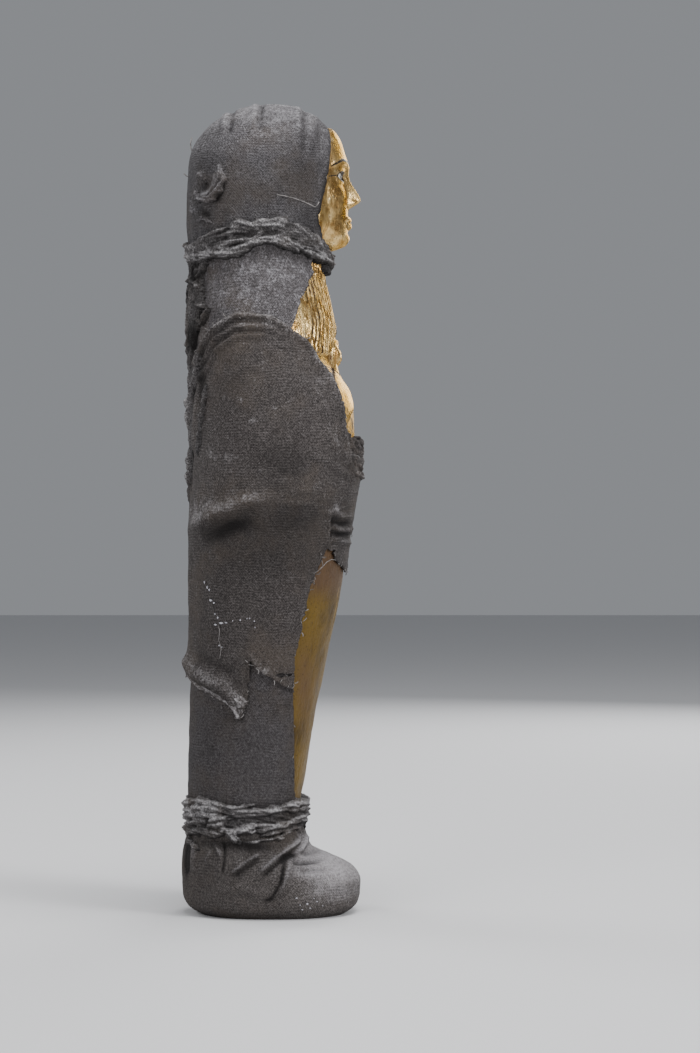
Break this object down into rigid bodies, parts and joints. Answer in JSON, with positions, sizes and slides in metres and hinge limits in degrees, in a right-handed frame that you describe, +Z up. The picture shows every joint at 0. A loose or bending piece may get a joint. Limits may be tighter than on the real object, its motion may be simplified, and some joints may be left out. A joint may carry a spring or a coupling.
{
  "type": "ushabti figurine",
  "caption": "Standing mummiform ushabti of carved gilded wood, wrapped in coarse linen tied at the neck and ankles, with the face, chest and shins bare.",
  "frame": {"origin": "on the floor, at the middle of the footprint's box", "axes": "+Z up, the figure faces -Y, its right side is at -X"},
  "size_m": [0.0748, 0.0571, 0.25],
  "materials": {
    "gilding": "worn gold leaf over carved wood",
    "linen": "coarse aged linen, darkened and dusty",
    "outer_linen": "coarse aged linen, dark grey-brown",
    "linen_strips": "torn and twisted linen strips"
  },
  "bodies": {
    "root": {"gilded_figure": "gilding", "hood": "linen", "neck_tie": "linen_strips", "inner_linen": "linen", "shroud": "outer_linen", "back_cord": "linen_strips", "ankle_tie": "linen_strips", "foot_wrap": "linen"}
  },
  "joints": []
}
